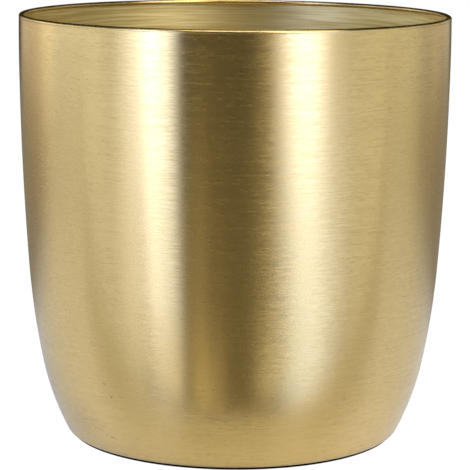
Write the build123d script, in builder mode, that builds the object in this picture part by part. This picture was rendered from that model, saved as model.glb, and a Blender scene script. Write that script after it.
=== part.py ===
from build123d import *
import math
import os

# Round cachepot spun from one disc of brass sheet, with its mouth edge curled inwards round a wire
# and its foot standing on four thin self-adhesive pads. Sizes are in millimetres, angles in degrees.
# The origin is on the surface that the pads stand on, and +Z is the axis of the pot.

# Overall size
pot_height = 197.0
mouth_diameter = 200.0

# Sheet that the wall and floor are spun from
sheet_thickness = 0.6

# Bead at the mouth: the sheet's edge, curled inwards round a wire ring
wire_diameter = 1.0
wire_clearance = 0.05
curl_edge_gap = 0.25

# Wall, from the mouth down to the foot: how far it leans at each level, and where its bend changes
wall_leans = (0.0, 4.19, 11.3, 27.1)
wall_break_shares = (0.403, 0.174)
foot_corner_radius = 3.0

# Floor: a flat ring to stand on, and a middle dished up so that it stays stiff
standing_ring_width = 18.0
floor_rise = 1.5
floor_bend_radius = 6.0

# Pads under the standing ring
pad_count = 4
pad_diameter = 14.0
pad_thickness = 0.8
pad_edge_radius = 0.3
adhesive_thickness = 0.2
first_pad_angle = 45.0

RIGHT_ANGLE = 90.0
FULL_TURN = 360.0


def sine(degrees):
    return math.sin(math.radians(degrees))


def cosine(degrees):
    return math.cos(math.radians(degrees))


# Bead: the curl goes round until the sheet's edge is a small gap away from the wall's inside
mouth_radius = mouth_diameter / 2
curl_inside_radius = wire_diameter / 2 + wire_clearance
bead_radius = curl_inside_radius + sheet_thickness
bead_centre_radius = mouth_radius - bead_radius
bead_centre_height = pot_height - bead_radius
curl_turn = FULL_TURN - math.degrees(math.acos((curl_inside_radius - curl_edge_gap) / bead_radius))

# Wall: each stretch is an arc whose radius follows from the height that it covers and its two leans
ring_height = pad_thickness + adhesive_thickness
foot_lean = wall_leans[-1]
corner_height = ring_height + foot_corner_radius * (1 - sine(foot_lean))
shell_height = pot_height - ring_height
wall_levels = [
    bead_centre_height,
    *(ring_height + share * shell_height for share in wall_break_shares),
    corner_height,
]
wall_radii = []
wall_turns = []
drawn_in = 0.0
for upper, lower, lean, next_lean in zip(wall_levels, wall_levels[1:], wall_leans, wall_leans[1:]):
    bend = (upper - lower) / (sine(next_lean) - sine(lean))
    wall_radii.append(bend)
    wall_turns.append(next_lean - lean)
    drawn_in += bend * (cosine(lean) - cosine(next_lean))

# Floor, worked out inwards from the foot
ring_outer_radius = mouth_radius - drawn_in - foot_corner_radius * cosine(foot_lean)
ring_inner_radius = ring_outer_radius - standing_ring_width
dish_bends = 2 * floor_bend_radius + sheet_thickness
dish_angle = math.degrees(math.acos(1 - floor_rise / dish_bends))
floor_flat_radius = ring_inner_radius - dish_bends * sine(dish_angle)
floor_height = ring_height + floor_rise


def sheet_face(inset):
    """Draws one face of the sheet from the axis to its curled edge, at this depth from the outside."""
    floor = Line((0, floor_height + inset), (floor_flat_radius, floor_height + inset))
    dish_down = JernArc(floor @ 1, (1, 0), floor_bend_radius + inset, -dish_angle)
    outer_bend = floor_bend_radius + sheet_thickness - inset
    dish_level = JernArc(dish_down @ 1, dish_down % 1, outer_bend, dish_angle)
    ring = Line(dish_level @ 1, (ring_outer_radius, ring_height + inset))
    corner = JernArc(ring @ 1, (1, 0), foot_corner_radius - inset, RIGHT_ANGLE - foot_lean)
    last = corner
    for bend, turn in zip(reversed(wall_radii), reversed(wall_turns)):
        last = JernArc(last @ 1, last % 1, bend - inset, turn)
    curl = JernArc(last @ 1, (0, 1), bead_radius - inset, curl_turn)
    return floor @ 0, curl @ 1


# Shell: wall, floor and curled edge in one piece
with BuildPart() as pot_shell:
    with BuildSketch(Plane.XZ):
        with BuildLine():
            outside_start, outside_end = sheet_face(0)
            inside_start, inside_end = sheet_face(sheet_thickness)
            Line(outside_start, inside_start)
            Line(outside_end, inside_end)
        make_face()
    revolve(axis=Axis.Z)

# Wire ring inside the bead, its two ends welded together
with BuildPart() as rim_wire:
    with BuildSketch(Plane.XZ):
        with Locations((bead_centre_radius, bead_centre_height)):
            Circle(wire_diameter / 2)
    revolve(axis=Axis.Z)

# Pads and the adhesive discs that hold them to the standing ring
pad_radius = pad_diameter / 2
pad_circle_radius = ring_inner_radius + standing_ring_width / 2
foot_pads = []
pad_adhesives = []
for index in range(pad_count):
    angle = first_pad_angle + index * FULL_TURN / pad_count
    centre = (pad_circle_radius * cosine(angle), pad_circle_radius * sine(angle))
    with BuildPart() as foot_pad:
        with BuildSketch():
            with Locations(centre):
                Circle(pad_radius)
        extrude(amount=pad_thickness)
        fillet(foot_pad.edges().group_by(Axis.Z)[0], pad_edge_radius)
    foot_pads.append(foot_pad)
    with BuildPart() as pad_adhesive:
        with BuildSketch(Plane.XY.offset(pad_thickness)):
            with Locations(centre):
                Circle(pad_radius)
        extrude(amount=adhesive_thickness)
    pad_adhesives.append(pad_adhesive)

# Files, one for each piece
pieces = {"pot_shell": pot_shell, "rim_wire": rim_wire}
for number, (foot_pad, pad_adhesive) in enumerate(zip(foot_pads, pad_adhesives), start=1):
    pieces[f"foot_pad_{number}"] = foot_pad
    pieces[f"pad_adhesive_{number}"] = pad_adhesive

os.makedirs("parts", exist_ok=True)
for name, piece in pieces.items():
    piece.part.label = name
    export_step(piece.part, f"parts/{name}.step")
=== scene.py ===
import math
import random

import bmesh
import bpy
from mathutils import Matrix, Vector


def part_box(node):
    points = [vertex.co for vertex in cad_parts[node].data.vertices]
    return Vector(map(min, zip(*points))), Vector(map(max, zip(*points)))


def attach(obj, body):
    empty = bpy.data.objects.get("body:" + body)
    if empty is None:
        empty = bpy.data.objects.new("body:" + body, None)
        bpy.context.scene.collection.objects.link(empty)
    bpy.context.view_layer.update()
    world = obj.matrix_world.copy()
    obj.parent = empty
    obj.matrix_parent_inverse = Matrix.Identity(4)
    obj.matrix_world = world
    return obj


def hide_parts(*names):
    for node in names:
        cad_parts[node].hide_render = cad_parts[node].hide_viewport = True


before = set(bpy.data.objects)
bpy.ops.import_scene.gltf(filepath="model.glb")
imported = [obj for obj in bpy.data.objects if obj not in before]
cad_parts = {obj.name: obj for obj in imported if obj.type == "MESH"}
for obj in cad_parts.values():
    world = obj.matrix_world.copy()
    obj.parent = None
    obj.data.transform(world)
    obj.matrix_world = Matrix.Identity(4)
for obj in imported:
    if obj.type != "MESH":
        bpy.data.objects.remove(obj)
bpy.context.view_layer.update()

# Camera
# A long lens in front of the pot and a little above its mouth, at the photograph's distance and tilt.
# It was fitted to the pot's outline in the photograph, which gives it a slight turn and roll as well.
camera_place = (0.0, -1.0, 0.2672)
camera_tilt_down = math.radians(9.90)
camera_turn = math.radians(-0.04)
camera_roll = math.radians(0.46)
focal_length_in_pixels = 2150.8
photo_side_in_pixels = 470
sensor_width = 36.0

camera = bpy.data.objects.new("camera", bpy.data.cameras.new("camera"))
camera.data.sensor_width = sensor_width
camera.data.lens = sensor_width * focal_length_in_pixels / photo_side_in_pixels
camera.matrix_world = (
    Matrix.Translation(camera_place)
    @ Matrix.Rotation(camera_turn, 4, "Z")
    @ Matrix.Rotation(math.pi / 2 - camera_tilt_down, 4, "X")
    @ Matrix.Rotation(camera_roll, 4, "Z")
)
bpy.context.scene.collection.objects.link(camera)
bpy.context.scene.camera = camera
bpy.context.scene.view_settings.view_transform = "Standard"

# Studio
# Pale walls stand on both sides of the pot and a little behind it, with a tall softbox on each side of the
# lens and soft light overhead in front. The rest of the room is nearly dark. The camera itself sees plain
# white all round.
room_light = (0.032, 0.023, 0.004)
white_light = (1.0, 1.0, 1.0, 1.0)
light_strength = 1.0
light_map_side = 1024
# Each light has where it starts and stops and how soft its edges are, in degrees, first round from the
# lens, positive to its right, and then up from the horizon, then how far it leans, and its colour.
# One that starts at -110 goes on to straight below, and one that stops at 200 goes on to straight above.
# Half of them come from a least-squares fit to the bands on the pot in the photograph, rounded and partly
# changed. The others were set one by one, some of them starting from that fit.
studio_lights = [
    ((-80, 80, 40), (48, 200, 18), 0.0, (0.7, 0.68, 0.62)),
    ((-46, 52, 24), (50, 80, 14), 0.0, (2.0, 1.9, 1.5)),
    ((-154, -112, 20), (-70, 10, 16), -0.07, (0.80, 0.70, 0.54)),
    ((-118, -57, 20), (-110, 13, 27), 0.15, (0.77, 0.81, 0.83)),
    ((-131, -69, 19), (2, 13, 8), 0.07, (1.15, 1.25, 1.45)),
    ((-57, -37.5, 24), (-9, 26, 19), 0.02, (2.75, 3.1, 4.6)),
    ((-49, -32, 6), (-24, 7, 17), 0.20, (1.25, 1.47, 2.2)),
    ((-72, -30, 10), (-61, -37, 16), -0.08, (2.2, 2.0, 1.45)),
    ((-30, -8, 14), (-63, -41, 14), 0.05, (1.2, 1.0, 0.7)),
    ((-22, 16, 14), (-110, -60, 14), 0.0, (0.9, 0.85, 0.6)),
    ((-26, 28, 20), (-60, -11, 12), 0.0, (0.145, 0.13, 0.085)),
    ((-29, -15, 8), (-55, -14, 14), 0.0, (0.22, 0.20, 0.12)),
    ((22, 49, 18), (-110, -45, 17), -0.06, (3.5, 3.5, 2.7)),
    ((11, 54, 14), (9, 77, 18), -0.27, (2.0, 1.75, 1.25)),
    ((25, 45, 19), (-10, 7.5, 9), 0.06, (3.2, 3.8, 5.9)),
    ((41, 63, 24), (-51, -9, 15), -0.18, (1.1, 1.3, 1.95)),
    ((55, 123, 34), (-23, 19, 18), 0.06, (0.80, 0.81, 0.74)),
    ((55, 125, 20), (-110, -26, 20), 0.0, (0.25, 0.27, 0.28)),
    ((50, 100, 20), (-46, -18, 16), 0.0, (0.22, 0.25, 0.36)),
    ((125, 158, 20), (-14, 10, 12), 0.0, (0.62, 0.56, 0.45)),
]


def add_node(tree, kind, sockets=(), **settings):
    """Adds a node, sets its properties, and gives its sockets values or links from other nodes."""
    made = tree.nodes.new(kind)
    for name, value in settings.items():
        setattr(made, name, value)
    for name, value in dict(sockets).items():
        if isinstance(value, bpy.types.NodeSocket):
            tree.links.new(value, made.inputs[name])
        else:
            made.inputs[name].default_value = value
    return made


def calculate(tree, operation, *values):
    """One step of arithmetic between numbers or node outputs."""
    made = add_node(tree, "ShaderNodeMath", dict(enumerate(values)), operation=operation)
    return made.outputs["Value"]


def ramp(tree, value, start, end, low=0.0, high=1.0):
    """Goes smoothly from low at start to high at end, where start may be above end."""
    if end < start:
        start, end, low, high = end, start, high, low
    sockets = {"Value": value, "From Min": start, "From Max": end, "To Min": low, "To Max": high}
    return add_node(tree, "ShaderNodeMapRange", sockets, interpolation_type="SMOOTHSTEP").outputs["Result"]


def window(tree, value, low, high, soft):
    """1 between low and high and 0 outside, with edges that are this soft."""
    starts = ramp(tree, value, low - soft / 2, low + soft / 2)
    return calculate(tree, "MULTIPLY", starts, ramp(tree, value, high + soft / 2, high - soft / 2))


def blend_colour(tree, factor, first, second):
    """Goes from the first colour to the second as factor goes from 0 to 1."""
    made = add_node(tree, "ShaderNodeMix", {0: factor, 6: first, 7: second}, data_type="RGBA")
    return made.outputs[2]


def turn_from_lens(tree, split):
    """Degrees round the upright axis from the lens, positive to its right."""
    away = calculate(tree, "MULTIPLY", split.outputs["Y"], -1.0)
    return calculate(tree, "DEGREES", calculate(tree, "ARCTAN2", split.outputs["X"], away))


def seen_directly(tree, path):
    """1 for the camera's own rays and for those that pass through a piece, and 0 for all others."""
    return calculate(tree, "MAXIMUM", path.outputs["Is Camera Ray"], path.outputs["Is Transmission Ray"])


world = bpy.data.worlds.new("studio")
world.use_nodes = True
bpy.context.scene.world = world
studio = world.node_tree
studio.nodes.clear()
way = add_node(studio, "ShaderNodeTexCoord")
split = add_node(studio, "ShaderNodeSeparateXYZ", {"Vector": way.outputs["Generated"]})
turn = turn_from_lens(studio, split)
rise = calculate(studio, "DEGREES", calculate(studio, "ARCSINE", split.outputs["Z"]))
light = room_light
for turns, rises, lean, colour in studio_lights:
    leaning = calculate(studio, "MULTIPLY_ADD", rise, lean, turn)
    share = calculate(studio, "MULTIPLY", window(studio, leaning, *turns), window(studio, rise, *rises))
    sockets = {0: colour, 1: share, 2: light}
    light = add_node(studio, "ShaderNodeVectorMath", sockets, operation="MULTIPLY_ADD").outputs["Vector"]
room = add_node(studio, "ShaderNodeBackground", {"Color": light, "Strength": light_strength})
white = add_node(studio, "ShaderNodeBackground", {"Color": white_light, "Strength": light_strength})
seen = seen_directly(studio, add_node(studio, "ShaderNodeLightPath"))
both = add_node(studio, "ShaderNodeMixShader", {0: seen, 1: room.outputs[0], 2: white.outputs[0]})
add_node(studio, "ShaderNodeOutputWorld", {"Surface": both.outputs[0]})
world.cycles.sampling_method = "MANUAL"
world.cycles.sample_map_resolution = light_map_side

# Floor
# A white table top that ends just in front of the pot. Its colour is painted darker behind the pot as painted
# shade. It is lit by the studio, and Light Path adds white for the camera and a painted glow that only
# reflections see. Under the pot its colour is painted nearly black, as the pot's painted shadow.
# Its depths count backwards from the pot's axis, and its radii outwards from it
floor_half_width = 1.2
floor_front = -0.12
floor_back = 1.6
floor_colour = (0.78, 0.80, 0.80, 1.0)
floor_painted_shade_colour = (0.38, 0.35, 0.31, 1.0)
floor_shade_depths = (0.05, 0.32)
floor_painted_shadow_colour = (0.008, 0.007, 0.006, 1.0)
floor_white_level = 1.1
floor_white_share = 0.92
floor_painted_glow_colour = (0.25, 0.28, 0.38, 1.0)
shadow_edge_radii = (0.0758, 0.0763)
glow_radii = (0.80, 0.36)
glow_front = (-0.10, -0.05)
glow_back = (0.12, 0.34)
glow_share_at_back = 0.1


def start_material(name):
    """A new material and its empty node tree."""
    material = bpy.data.materials.new(name)
    material.use_nodes = True
    material.node_tree.nodes.clear()
    return material, material.node_tree


def from_upright_axis(tree, place):
    """How far each point lies from the upright axis."""
    across = (1.0, 1.0, 0.0)
    flat = add_node(tree, "ShaderNodeVectorMath", {0: place, 1: across}, operation="MULTIPLY")
    length = add_node(tree, "ShaderNodeVectorMath", {0: flat.outputs["Vector"]}, operation="LENGTH")
    return length.outputs["Value"]


floor_corners = [
    (-floor_half_width, floor_front, 0.0),
    (floor_half_width, floor_front, 0.0),
    (floor_half_width, floor_back, 0.0),
    (-floor_half_width, floor_back, 0.0),
]
floor_mesh = bpy.data.meshes.new("table_top")
floor_mesh.from_pydata(floor_corners, [], [(0, 1, 2, 3)])
floor = bpy.data.objects.new("table_top", floor_mesh)
bpy.context.scene.collection.objects.link(floor)

floor_material, top = start_material("white_table_top")
place = add_node(top, "ShaderNodeTexCoord").outputs["Object"]
distance = from_upright_axis(top, place)
in_the_open = ramp(top, distance, *shadow_edge_radii)
path = add_node(top, "ShaderNodeLightPath")
white_share = calculate(top, "MULTIPLY", seen_directly(top, path), floor_white_share)
white_share = calculate(top, "MULTIPLY", white_share, in_the_open)
depth = add_node(top, "ShaderNodeSeparateXYZ", {"Vector": place}).outputs["Y"]
# Behind the pot the table's colour is painted darker: painted shade.
open_colour = blend_colour(top, ramp(top, depth, *floor_shade_depths), floor_colour, floor_painted_shade_colour)
# Under the pot the table's colour is painted nearly black: the pot's painted shadow.
matte_colour = blend_colour(top, in_the_open, floor_painted_shadow_colour, open_colour)
matte = add_node(top, "ShaderNodeBsdfDiffuse", {"Color": matte_colour})
plain = add_node(top, "ShaderNodeEmission", {"Strength": floor_white_level})
both = add_node(top, "ShaderNodeMixShader", {0: white_share, 1: matte.outputs[0], 2: plain.outputs[0]})
# A painted glow on the table that only reflections see, out to about 0.8 m from the axis, fading at the front
# edge and behind the pot: painted light.
mirrored = ramp(top, distance, *glow_radii)
mirrored = calculate(top, "MULTIPLY", mirrored, ramp(top, depth, *glow_front))
mirrored = calculate(top, "MULTIPLY", mirrored, ramp(top, depth, *glow_back, 1.0, glow_share_at_back))
mirrored = calculate(top, "MULTIPLY", path.outputs["Is Glossy Ray"], mirrored)
glow = add_node(top, "ShaderNodeEmission", {"Color": floor_painted_glow_colour, "Strength": mirrored})
all_light = add_node(top, "ShaderNodeAddShader", {0: both.outputs[0], 1: glow.outputs[0]})
add_node(top, "ShaderNodeOutputMaterial", {"Surface": all_light.outputs[0]})
floor_mesh.materials.append(floor_material)

# Pot shell
# One disc of brass sheet, spun over a form into wall and floor, with its edge curled inwards round a wire.
# The roller that closes the curl leaves a very shallow groove, the neck, in the outside under it. The outside
# is brushed round the axis and lacquered, and the inside and the base keep the spinner's tool marks.
sheet = 0.0006
# Degrees by which the wall leans in, from under the bead down, and how far up the pot its two breaks are
wall_leans = (0.0, 4.19, 11.3, 27.1)
wall_break_shares = (0.403, 0.174)
foot_corner_radius = 0.003
curl_inside_radius = 0.00055
curl_edge_gap = 0.00025
neck_depth = 0.00006
neck_runs = (0.007, 0.0006)
standing_ring_width = 0.018
floor_rise = 0.0015
floor_bend_radius = 0.006
shell_turns = 240
wall_rows = 18
bend_rows = 8
neck_rows = 5
curl_rows = 20
edge_rows = 6
merging_distance = 1e-6

shell_low, shell_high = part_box("pot_shell")
mouth_radius = min(shell_high.x, shell_high.y)
bead_radius = curl_inside_radius + sheet
foot_lean = math.radians(wall_leans[-1])
shell_height = shell_high.z - shell_low.z
bend_ends = [
    shell_high.z - bead_radius - sum(neck_runs),
    *(shell_low.z + share * shell_height for share in wall_break_shares),
    shell_low.z + foot_corner_radius * (1 - math.sin(foot_lean)),
]
wall_bends = []
drawn_in = 0.0
for upper, lower, lean, next_lean in zip(bend_ends, bend_ends[1:], wall_leans, wall_leans[1:]):
    lean, next_lean = math.radians(lean), math.radians(next_lean)
    bend = (upper - lower) / (math.sin(next_lean) - math.sin(lean))
    wall_bends.append((bend, next_lean - lean))
    drawn_in += bend * (math.cos(lean) - math.cos(next_lean))
neck_leans = [2 * math.atan(neck_depth / run) for run in neck_runs]
neck_bends = [run / 2 / math.sin(lean) for run, lean in zip(neck_runs, neck_leans)]
ring_outer = mouth_radius - drawn_in - foot_corner_radius * math.cos(foot_lean)
dish_bends = 2 * floor_bend_radius + sheet
dish_angle = math.acos(1 - floor_rise / dish_bends)
dish_flat = ring_outer - standing_ring_width - dish_bends * math.sin(dish_angle)
edge_radius = sheet / 2
# The curl goes round until its rounded edge is its gap short of the wall
curl_turn = 2 * math.pi - math.acos((curl_inside_radius - curl_edge_gap) / bead_radius)
curl_turn -= edge_radius / (curl_inside_radius + edge_radius)


def follow(start, moves):
    """Walks outwards from a point on straight runs and bends. Each has its length or radius, its turn and its
    rows of points, which crowd towards both its ends, so that the shading turns cleanly where two meet."""
    x, z = start
    heading = 0.0
    points = [(x, z)]
    for size, turned, rows in moves:
        for row in range(1, rows + 1):
            along = (1 - math.cos(math.pi * row / rows)) / 2
            now = heading + turned * along
            if turned:
                side = math.copysign(size, turned)
                outwards = side * (math.sin(now) - math.sin(heading))
                upwards = side * (math.cos(heading) - math.cos(now))
            else:
                outwards = size * along * math.cos(heading)
                upwards = size * along * math.sin(heading)
            points.append((x + outwards, z + upwards))
        heading += turned
        x, z = points[-1]
    return points


def sheet_face(inset):
    """Points of one face of the sheet, from the axis to its curled edge, at this depth from the outside."""
    neck = [
        (neck_bends[0], neck_leans[0], neck_rows),
        (neck_bends[0], -neck_leans[0], neck_rows),
        (neck_bends[1], -neck_leans[1], neck_rows),
        (neck_bends[1], neck_leans[1], neck_rows),
    ]
    moves = [
        (dish_flat, 0.0, wall_rows),
        (floor_bend_radius + inset, -dish_angle, bend_rows),
        (floor_bend_radius + sheet - inset, dish_angle, bend_rows),
        (standing_ring_width, 0.0, bend_rows),
        (foot_corner_radius - inset, math.pi / 2 - foot_lean, bend_rows),
        *((bend - inset, turned, wall_rows) for bend, turned in reversed(wall_bends)),
        *([(sum(neck_runs), 0.0, neck_rows)] if inset else neck),
        (bead_radius - inset, curl_turn, curl_rows),
    ]
    return follow((0.0, shell_low.z + floor_rise + inset), moves)


def spin(name, outline, turns, slots):
    """Turns an outline of radii and heights about the upright axis, from the axis and back to it.
    Its map has the turn across and the way along the outline up. slots gives a material to each stretch."""
    travelled = [0.0]
    for before, after in zip(outline, outline[1:]):
        travelled.append(travelled[-1] + math.dist(before, after))
    shape = bmesh.new()
    layer = shape.loops.layers.uv.new("OFBake")
    angles = [2 * math.pi * step / turns for step in range(turns)]
    rings = [
        [shape.verts.new((radius * math.cos(angle), radius * math.sin(angle), height)) for angle in angles]
        for radius, height in outline
    ]
    for row, (lower, upper) in enumerate(zip(rings, rings[1:])):
        ends = travelled[row] / travelled[-1], travelled[row + 1] / travelled[-1]
        for step in range(turns):
            following = (step + 1) % turns
            face = shape.faces.new((lower[step], lower[following], upper[following], upper[step]))
            face.smooth = True
            face.material_index = slots[row]
            places = [(0, ends[0]), (1, ends[0]), (1, ends[1]), (0, ends[1])]
            for loop, (along, up) in zip(face.loops, places):
                loop[layer].uv = ((step + along) / turns, up)
    bmesh.ops.remove_doubles(shape, verts=rings[0] + rings[-1], dist=merging_distance)
    mesh = bpy.data.meshes.new(name)
    shape.to_mesh(mesh)
    shape.free()
    piece = bpy.data.objects.new(name, mesh)
    bpy.context.scene.collection.objects.link(piece)
    return piece, travelled[-1]


outside = sheet_face(0.0)
inside = sheet_face(sheet)
edge_middle = (Vector(outside[-1]) + Vector(inside[-1])) / 2
edge_start = Vector(outside[-1]) - edge_middle
rounded_edge = []
for row in range(1, edge_rows):
    angle = math.pi * row / edge_rows
    rounded_edge.append((
        edge_middle.x + edge_start.x * math.cos(angle) - edge_start.y * math.sin(angle),
        edge_middle.y + edge_start.x * math.sin(angle) + edge_start.y * math.cos(angle),
    ))
shell_outline = outside + rounded_edge + inside[::-1]
brushed_slot = 0
spun_slot = 1
# The base is the dish, its two bends and the standing ring
base_stretches = wall_rows + 3 * bend_rows
brushed_stretches = len(outside) - 1 - base_stretches
spun_stretches = len(shell_outline) - len(outside)
shell_slots = [spun_slot] * base_stretches
shell_slots += [brushed_slot] * brushed_stretches
shell_slots += [spun_slot] * spun_stretches
pot_shell, shell_way = spin("spun_brass_shell", shell_outline, shell_turns, shell_slots)
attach(pot_shell, "root")
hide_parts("pot_shell")

fine_streak_share = 0.6
coarse_streak_share = 0.4
streak_detail = 2.0
# Blotches and streaks nearly always have values within the first of these, and often within the second
most_of_noise = (0.3, 0.7)
middle_of_noise = (0.35, 0.65)
# Streaks are given by their length and their width
outside_finish = {
    "colours": ((0.75, 0.57, 0.26, 1.0), (0.69, 0.515, 0.22, 1.0)),
    "roughness": 0.24,
    "swing": 0.045,
    "anisotropy": 0.95,
    "fine_streaks": (0.004, 0.0005),
    "coarse_streaks": (0.022, 0.0008),
    "depth": 0.000006,
}
# The inside and the base have lighter colours than the outside. Their streaks are the spinner's tool marks,
# and their extra lightness is painted light, standing in for light that falls into the pot.
inside_finish_and_painted_light = {
    "colours": ((0.95, 0.84, 0.47, 1.0), (0.70, 0.57, 0.24, 1.0)),
    "roughness": 0.50,
    "swing": 0.06,
    "anisotropy": 0.45,
    "fine_streaks": (0.030, 0.0009),
    "coarse_streaks": (0.120, 0.0022),
    "depth": 0.00004,
}
stain_colour = (0.26, 0.16, 0.075, 1.0)
stain_dulling = 0.12
stain_grain = 0.0009
stain_grain_detail = 3.0
stain_raggedness = 0.5
# A mark begins at the first of these shares of its size and has its full strength at the second
stain_reach = (1.3, 0.4)
# Each mark of handling has its turn from the lens in degrees, its height, half its width in degrees,
# half its height, and how strong it is. The places were picked in the photograph, and the fitted
# camera gave their turns and heights.
handling_marks = [
    (-39.1, 0.0374, 0.50, 0.0005, 0.35),
    (-37.2, 0.0315, 0.65, 0.0005, 0.60),
    (-38.3, 0.0318, 0.20, 0.0004, 0.40),
    (-40.5, 0.0108, 1.00, 0.0005, 0.50),
    (-42.8, 0.0114, 0.25, 0.0004, 0.30),
    (58.6, 0.0155, 0.20, 0.0016, 0.50),
    (-53.0, 0.0160, 8.50, 0.0065, 0.15),
    (-50.0, 0.1528, 0.20, 0.0004, 0.30),
    (-34.8, 0.0854, 0.20, 0.0004, 0.30),
    (30.1, 0.1788, 0.20, 0.0004, 0.30),
]


def blotches(tree, place, scale, detail, distortion=0.0):
    """Soft blotches between 0 and 1, about one over scale across, with this much finer detail in them."""
    sockets = {"Vector": place, "Scale": scale, "Detail": detail, "Distortion": distortion}
    return add_node(tree, "ShaderNodeTexNoise", sockets).outputs["Fac"]


def relief(tree, height, depth):
    """Normals of a surface that stands up by this depth, in metres, where height is 1."""
    sockets = {"Height": height, "Distance": depth, "Strength": 1.0}
    return add_node(tree, "ShaderNodeBump", sockets).outputs["Normal"]


def give_surface(tree, sockets):
    """Ends a material with one surface shader that has these sockets."""
    surface = add_node(tree, "ShaderNodeBsdfPrincipled", sockets)
    add_node(tree, "ShaderNodeOutputMaterial", {"Surface": surface.outputs[0]})


def streaks(tree, length, width):
    """Streaks that run round the axis, of about this length and width in metres."""
    place = add_node(tree, "ShaderNodeTexCoord")
    flat = add_node(tree, "ShaderNodeSeparateXYZ", {"Vector": place.outputs["Object"]})
    chart = add_node(tree, "ShaderNodeUVMap", uv_map="OFBake")
    along = add_node(tree, "ShaderNodeSeparateXYZ", {"Vector": chart.outputs["UV"]})
    stretched = add_node(
        tree,
        "ShaderNodeCombineXYZ",
        {
            "X": calculate(tree, "DIVIDE", flat.outputs["X"], length),
            "Y": calculate(tree, "DIVIDE", flat.outputs["Y"], length),
            "Z": calculate(tree, "MULTIPLY", along.outputs["Y"], shell_way / width),
        },
    )
    return blotches(tree, stretched.outputs["Vector"], 1.0, streak_detail)


def stains(tree, marks):
    """How much each point is stained, from 0 to 1, with ragged edges."""
    place = add_node(tree, "ShaderNodeTexCoord").outputs["Object"]
    spot = add_node(tree, "ShaderNodeSeparateXYZ", {"Vector": place})
    sockets = {"X": turn_from_lens(tree, spot), "Y": spot.outputs["Z"]}
    chart = add_node(tree, "ShaderNodeCombineXYZ", sockets)
    grain = blotches(tree, place, 1 / stain_grain, stain_grain_detail)
    ragged = ramp(tree, grain, *most_of_noise, -stain_raggedness, stain_raggedness)
    stained = 0.0
    for mark_turn, mark_height, half_turn, half_height, strength in marks:
        sockets = {
            0: chart.outputs["Vector"],
            1: (1 / half_turn, 1 / half_height, 0.0),
            2: (-mark_turn / half_turn, -mark_height / half_height, 0.0),
        }
        offset = add_node(tree, "ShaderNodeVectorMath", sockets, operation="MULTIPLY_ADD")
        reach = add_node(tree, "ShaderNodeVectorMath", {0: offset.outputs["Vector"]}, operation="LENGTH")
        reach = calculate(tree, "ADD", reach.outputs["Value"], ragged)
        stained = calculate(tree, "MAXIMUM", stained, ramp(tree, reach, *stain_reach, 0.0, strength))
    return stained


def brass(name, colours, roughness, swing, anisotropy, fine_streaks, coarse_streaks, depth, marks=()):
    """Lacquered brass worked round the axis, with streaks in its colour, its roughness and its relief."""
    material, tree = start_material(name)
    fine = calculate(tree, "MULTIPLY", streaks(tree, *fine_streaks), fine_streak_share)
    coarse = streaks(tree, *coarse_streaks)
    streaked = calculate(tree, "MULTIPLY_ADD", coarse, coarse_streak_share, fine)
    colour = blend_colour(tree, ramp(tree, streaked, *middle_of_noise), *colours)
    rough = ramp(tree, streaked, *most_of_noise, roughness - swing, roughness + swing)
    if marks:
        stained = stains(tree, marks)
        colour = blend_colour(tree, stained, colour, stain_colour)
        rough = calculate(tree, "MULTIPLY_ADD", stained, stain_dulling, rough)
    round_axis = add_node(tree, "ShaderNodeTangent", direction_type="RADIAL", axis="Z")
    give_surface(tree, {
        "Base Color": colour,
        "Metallic": 1.0,
        "Roughness": rough,
        "Anisotropic": anisotropy,
        "Anisotropic Rotation": 0.25,
        "Normal": relief(tree, streaked, depth),
        "Tangent": round_axis.outputs["Tangent"],
        "Coat Weight": 0.45,
        "Coat Roughness": 0.2,
        "Coat IOR": 1.5,
    })
    return material


pot_shell.data.materials.append(brass("brushed_brass", **outside_finish, marks=handling_marks))
pot_shell.data.materials.append(brass("spun_brass", **inside_finish_and_painted_light))

# Rim wire
# A hoop of zinc-coated drawn steel wire that the edge of the sheet is curled round, to stiffen the mouth.
# Only a thread of it shows in the gap of the curl. The die has left fine lines along it.
wire_colour = (0.58, 0.58, 0.57, 1.0)
wire_dull_colour = (0.46, 0.46, 0.455, 1.0)
wire_line_length = 0.012
wire_line_width = 0.00008
wire_line_depth = 0.000006
wire_line_detail = 2.0
zinc_patch_size = 0.0015
zinc_patch_detail = 3.0
wire_roughness = (0.30, 0.46)

drawn_wire, wire_tree = start_material("zinc_coated_wire")
place = add_node(wire_tree, "ShaderNodeTexCoord").outputs["Object"]
spot = add_node(wire_tree, "ShaderNodeSeparateXYZ", {"Vector": place})
along_wire = add_node(
    wire_tree,
    "ShaderNodeCombineXYZ",
    {
        "X": calculate(wire_tree, "DIVIDE", spot.outputs["X"], wire_line_length),
        "Y": calculate(wire_tree, "DIVIDE", spot.outputs["Y"], wire_line_length),
        "Z": calculate(wire_tree, "DIVIDE", spot.outputs["Z"], wire_line_width),
    },
)
sockets = {
    "Vector": along_wire.outputs["Vector"],
    "W": calculate(wire_tree, "DIVIDE", from_upright_axis(wire_tree, place), wire_line_width),
    "Scale": 1.0,
    "Detail": wire_line_detail,
}
lines = add_node(wire_tree, "ShaderNodeTexNoise", sockets, noise_dimensions="4D").outputs["Fac"]
patches = blotches(wire_tree, place, 1 / zinc_patch_size, zinc_patch_detail)
dulled = ramp(wire_tree, patches, *middle_of_noise)
give_surface(wire_tree, {
    "Base Color": blend_colour(wire_tree, dulled, wire_colour, wire_dull_colour),
    "Metallic": 1.0,
    "Roughness": ramp(wire_tree, patches, *most_of_noise, *wire_roughness),
    "Normal": relief(wire_tree, lines, wire_line_depth),
})
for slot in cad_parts["rim_wire"].material_slots:
    slot.material = drawn_wire

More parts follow.
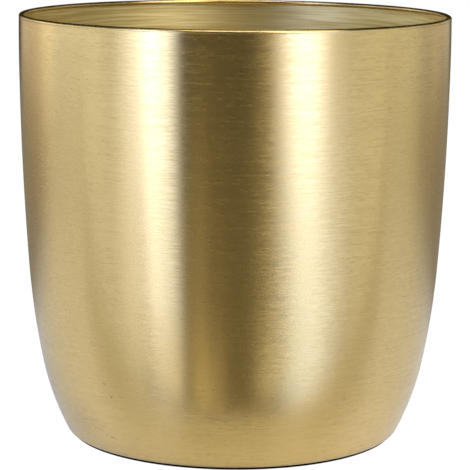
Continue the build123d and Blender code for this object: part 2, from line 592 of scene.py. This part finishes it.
# Foot pads
# Four discs of black closed-cell foam under the standing ring, which keep the brass off the table.
# They are punched from sheet, so their cut edge is a little hollow and uneven and shows open cells.
pad_edge_radius = 0.0003
pad_waist = 0.00018
pad_unevenness = 0.00012
pad_turns = 96
pad_edge_rows = 6
pad_side_rows = 6
pad_face_rows = 5
pad_colour = (0.030, 0.030, 0.032, 1.0)
pad_cell_shade_colour = (0.012, 0.012, 0.013, 1.0)
pad_cell_size = 0.00035
pad_cell_depth = 0.00006
pad_cell_hollows = (0.45, 0.15)
pad_cell_share_of_cloud = 0.3
pad_cloud_detail = 4.0
pad_roughness = (0.82, 0.95)
pad_numbers = range(1, 5)
cut_wave_counts = range(2, 12)
cut_wave_strengths = (0.2, 1.0)


def cut_edge(number):
    """How far in the punched edge of this pad and its adhesive lies at each angle, from 0 to 1."""
    draws = random.Random(number)
    waves = [
        (count, draws.uniform(*cut_wave_strengths) / count, draws.uniform(0, 2 * math.pi))
        for count in cut_wave_counts
    ]
    values = []
    for step in range(pad_turns):
        angle = 2 * math.pi * step / pad_turns
        values.append(sum(size * math.sin(count * angle + start) for count, size, start in waves))
    least, most = min(values), max(values)
    return [(value - least) / (most - least) for value in values]


def punched_disc(name, middle, outline, unevenness, edge):
    """Turns an outline of radii and heights about an upright line, with the edge of the disc cut unevenly.
    The unevenness fades towards the middle."""
    shape = bmesh.new()
    rings = []
    widest = max(radius for radius, height in outline)
    for radius, height in outline:
        ring = []
        for step in range(pad_turns):
            angle = 2 * math.pi * step / pad_turns
            reach = radius - unevenness * edge[step] * (radius / widest) ** 2
            ring.append(shape.verts.new((
                middle.x + reach * math.cos(angle),
                middle.y + reach * math.sin(angle),
                height,
            )))
        rings.append(ring)
    for lower, upper in zip(rings, rings[1:]):
        for step in range(pad_turns):
            following = (step + 1) % pad_turns
            face = shape.faces.new((lower[step], lower[following], upper[following], upper[step]))
            face.smooth = True
    bmesh.ops.remove_doubles(shape, verts=rings[0] + rings[-1], dist=merging_distance)
    mesh = bpy.data.meshes.new(name)
    shape.to_mesh(mesh)
    shape.free()
    piece = bpy.data.objects.new(name, mesh)
    bpy.context.scene.collection.objects.link(piece)
    return piece


foam, foam_tree = start_material("closed_cell_foam")
place = add_node(foam_tree, "ShaderNodeTexCoord").outputs["Object"]
sockets = {"Vector": place, "Scale": 1 / pad_cell_size, "Randomness": 1.0}
cells = add_node(foam_tree, "ShaderNodeTexVoronoi", sockets, feature="F1").outputs["Distance"]
clouds = blotches(foam_tree, place, pad_cell_share_of_cloud / pad_cell_size, pad_cloud_detail)
# Each cell's hollow is painted darker than the foam: painted shade in the cells.
hollow = ramp(foam_tree, cells, *pad_cell_hollows)
give_surface(foam_tree, {
    "Base Color": blend_colour(foam_tree, hollow, pad_colour, pad_cell_shade_colour),
    "Roughness": ramp(foam_tree, clouds, *most_of_noise, *pad_roughness),
    "Specular IOR Level": 0.3,
    "Sheen Weight": 0.15,
    "Sheen Roughness": 0.6,
    "Normal": relief(foam_tree, cells, pad_cell_depth),
})

for number in pad_numbers:
    low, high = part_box(f"foot_pad_{number}")
    middle = (low + high) / 2
    pad_radius = (high.x - low.x) / 2
    outline = []
    for row in range(pad_face_rows):
        outline.append(((pad_radius - pad_edge_radius) * row / pad_face_rows, low.z))
    for row in range(pad_edge_rows + 1):
        angle = math.pi / 2 * row / pad_edge_rows
        outline.append((
            pad_radius - pad_edge_radius * (1 - math.sin(angle)),
            low.z + pad_edge_radius * (1 - math.cos(angle)),
        ))
    side_start = low.z + pad_edge_radius
    for row in range(1, pad_side_rows + 1):
        share = row / pad_side_rows
        outline.append((
            pad_radius - pad_waist * math.sin(math.pi * share),
            side_start + (high.z - side_start) * share,
        ))
    for row in range(pad_face_rows - 1, -1, -1):
        outline.append((pad_radius * row / pad_face_rows, high.z))
    pad = punched_disc(f"foam_pad_{number}", middle, outline, pad_unevenness, cut_edge(number))
    pad.data.materials.append(foam)
    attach(pad, "root")
    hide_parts(f"foot_pad_{number}")

# Pad adhesive
# Each pad is stuck to the standing ring with a thin film of acrylic adhesive on the foam's back.
# It was punched with the pad, so it has the same outline, pressed out a little less here and there.
film_inset = 0.00005
film_unevenness = 0.0002
film_colour = (0.82, 0.80, 0.74, 1.0)
film_wet_colour = (0.70, 0.67, 0.58, 1.0)
film_mottle_size = 0.0012
film_mottle_detail = 4.0
film_mottle_distortion = 0.6
film_depth = 0.00001
film_wetting = (0.4, 0.65)
film_roughness = (0.55, 0.35)

adhesive, film_tree = start_material("acrylic_adhesive")
place = add_node(film_tree, "ShaderNodeTexCoord").outputs["Object"]
mottle = blotches(film_tree, place, 1 / film_mottle_size, film_mottle_detail, film_mottle_distortion)
wet = ramp(film_tree, mottle, *film_wetting)
give_surface(film_tree, {
    "Base Color": blend_colour(film_tree, wet, film_colour, film_wet_colour),
    "Roughness": ramp(film_tree, mottle, *middle_of_noise, *film_roughness),
    "Subsurface Weight": 0.2,
    "Subsurface Scale": 0.0003,
    "Normal": relief(film_tree, mottle, film_depth),
})

for number in pad_numbers:
    low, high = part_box(f"pad_adhesive_{number}")
    middle = (low + high) / 2
    film_radius = (high.x - low.x) / 2
    outline = [(film_radius * row / pad_face_rows, low.z) for row in range(pad_face_rows)]
    outline.append((film_radius - film_inset, low.z))
    outline.append((film_radius, middle.z))
    outline.append((film_radius - film_inset, high.z))
    outline += [(film_radius * row / pad_face_rows, high.z) for row in range(pad_face_rows - 1, -1, -1)]
    film = punched_disc(f"adhesive_film_{number}", middle, outline, film_unevenness, cut_edge(number))
    film.data.materials.append(adhesive)
    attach(film, "root")
    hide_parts(f"pad_adhesive_{number}")
